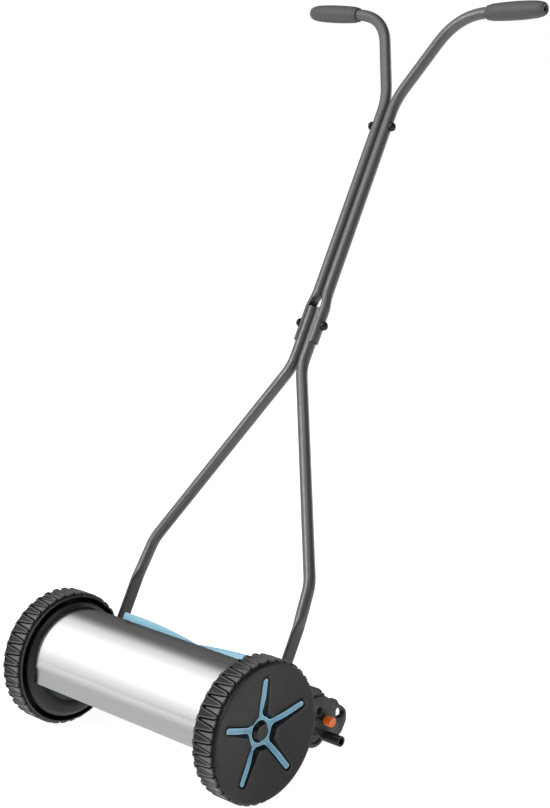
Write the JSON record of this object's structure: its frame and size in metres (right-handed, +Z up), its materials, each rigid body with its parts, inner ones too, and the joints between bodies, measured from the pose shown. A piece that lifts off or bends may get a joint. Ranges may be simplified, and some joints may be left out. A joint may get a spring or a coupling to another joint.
{
  "type": "reel mower",
  "caption": "Hand-pushed reel lawn mower: two lugged wheels gear-drive a helical cutting reel under a curved metal front cover, with a height-adjustable rear roller and a bolted tube handle.",
  "frame": {"origin": "middle of the whole mower's footprint, on the ground", "axes": "+Z up, +X along the wheel axle to the operator's right when standing in front, front cover faces -Y, handle leans towards +Y"},
  "size_m": [0.5206, 0.7838, 1.2065],
  "materials": {
    "cover_metal": "polished sheet",
    "charcoal_plastic": "fine moulded grain",
    "tyre_plastic": "satin moulded tread",
    "black_plastic": "satin",
    "blue_plastic": "satin",
    "orange_plastic": "satin gloss",
    "blade_paint": "smooth non-stick coat",
    "bare_steel": "turned or ground",
    "black_paint": "satin",
    "tube_paint": "metallic powder coat",
    "grip_rubber": "dimpled soft grip",
    "bolt_black": "gloss domes"
  },
  "bodies": {
    "frame": {"front_cover": "cover_metal", "side_plate_right": "charcoal_plastic", "side_plate_left": "charcoal_plastic", "side_housing_right": "charcoal_plastic", "side_housing_left": "charcoal_plastic", "front_tie_rod": "bare_steel", "handle_pivot_bolt_right": "bare_steel", "handle_pivot_bolt_left": "bare_steel", "bed_knife": "bare_steel", "knife_carrier": "black_paint", "knife_screw_1": "bare_steel", "knife_screw_2": "bare_steel", "wheel_axle_right": "bare_steel", "wheel_axle_left": "bare_steel", "reel_bearing_right": "bare_steel", "reel_bearing_left": "bare_steel", "height_arm_pivot_right": "bare_steel", "height_arm_pivot_left": "bare_steel"},
    "wheel_right": {"wheel_tyre_right": "tyre_plastic", "wheel_disc_right": "charcoal_plastic", "wheel_star_inlay_right": "blue_plastic", "wheel_hub_cap_right": "black_plastic", "wheel_ring_gear_right": "black_plastic"},
    "wheel_left": {"wheel_tyre_left": "tyre_plastic", "wheel_disc_left": "charcoal_plastic", "wheel_star_inlay_left": "blue_plastic", "wheel_hub_cap_left": "black_plastic", "wheel_ring_gear_left": "black_plastic"},
    "reel": {"reel_shaft": "bare_steel", "reel_blade_1": "blade_paint", "reel_blade_2": "blade_paint", "reel_blade_3": "blade_paint", "reel_blade_4": "blade_paint", "reel_blade_5": "blade_paint", "reel_blade_6": "blade_paint", "reel_blade_7": "blade_paint", "reel_spider_1": "blade_paint", "reel_spider_2": "blade_paint", "reel_spider_3": "blade_paint", "reel_spider_4": "blade_paint", "reel_pinion_right": "bare_steel", "reel_pinion_left": "bare_steel"},
    "roller_carrier": {"height_arm_right": "charcoal_plastic", "height_arm_left": "charcoal_plastic", "roller_shaft": "bare_steel"},
    "roller": {"rear_roller": "black_plastic", "roller_end_cap_right": "black_plastic", "roller_end_cap_left": "black_plastic"},
    "release_right": {"release_button_right": "orange_plastic"},
    "release_left": {"release_button_left": "orange_plastic"},
    "handle": {"handle_lower_tube_right": "tube_paint", "handle_lower_tube_left": "tube_paint", "handle_upper_tube_right": "tube_paint", "handle_upper_tube_left": "tube_paint", "handle_grip_right": "grip_rubber", "handle_grip_left": "grip_rubber", "lap_bolt": "bolt_black", "lap_nut": "bolt_black", "clamp_bolt": "bolt_black", "clamp_nut": "bolt_black"}
  },
  "joints": [
    {"name": "wheel_right_spin", "type": "hinge", "parent": "frame", "child": "wheel_right", "pos_m": [0.229, -0.27834, 0.114], "axis": [1, 0, 0], "continuous": true},
    {"name": "wheel_left_spin", "type": "hinge", "parent": "frame", "child": "wheel_left", "pos_m": [-0.229, -0.27834, 0.114], "axis": [1, 0, 0], "continuous": true},
    {"name": "reel_spin", "type": "hinge", "parent": "frame", "child": "reel", "pos_m": [0, -0.22834, 0.114], "axis": [1, 0, 0], "continuous": true},
    {"name": "height_adjust", "type": "hinge", "parent": "frame", "child": "roller_carrier", "pos_m": [0, -0.16834, 0.072], "axis": [1, 0, 0], "range_deg": [-6, 14]},
    {"name": "roller_spin", "type": "hinge", "parent": "roller_carrier", "child": "roller", "pos_m": [0, -0.07184, 0.0275], "axis": [1, 0, 0], "continuous": true},
    {"name": "release_right_push", "type": "slide", "parent": "roller_carrier", "child": "release_right", "axis": [-1, 0, 0], "range_m": [0, 0.004], "stiffness_N_per_m": 600, "springref_m": -0.003},
    {"name": "release_left_push", "type": "slide", "parent": "roller_carrier", "child": "release_left", "axis": [1, 0, 0], "range_m": [0, 0.004], "stiffness_N_per_m": 600, "springref_m": -0.003},
    {"name": "handle_tilt", "type": "hinge", "parent": "frame", "child": "handle", "pos_m": [0, -0.1921, 0.13841], "axis": [1, 0, 0], "range_deg": [0, 45]}
  ],
  "couplings": [
    {"joint": "wheel_left_spin", "follows": "wheel_right_spin", "ratio": 1},
    {"joint": "reel_spin", "follows": "wheel_right_spin", "ratio": 4}
  ]
}
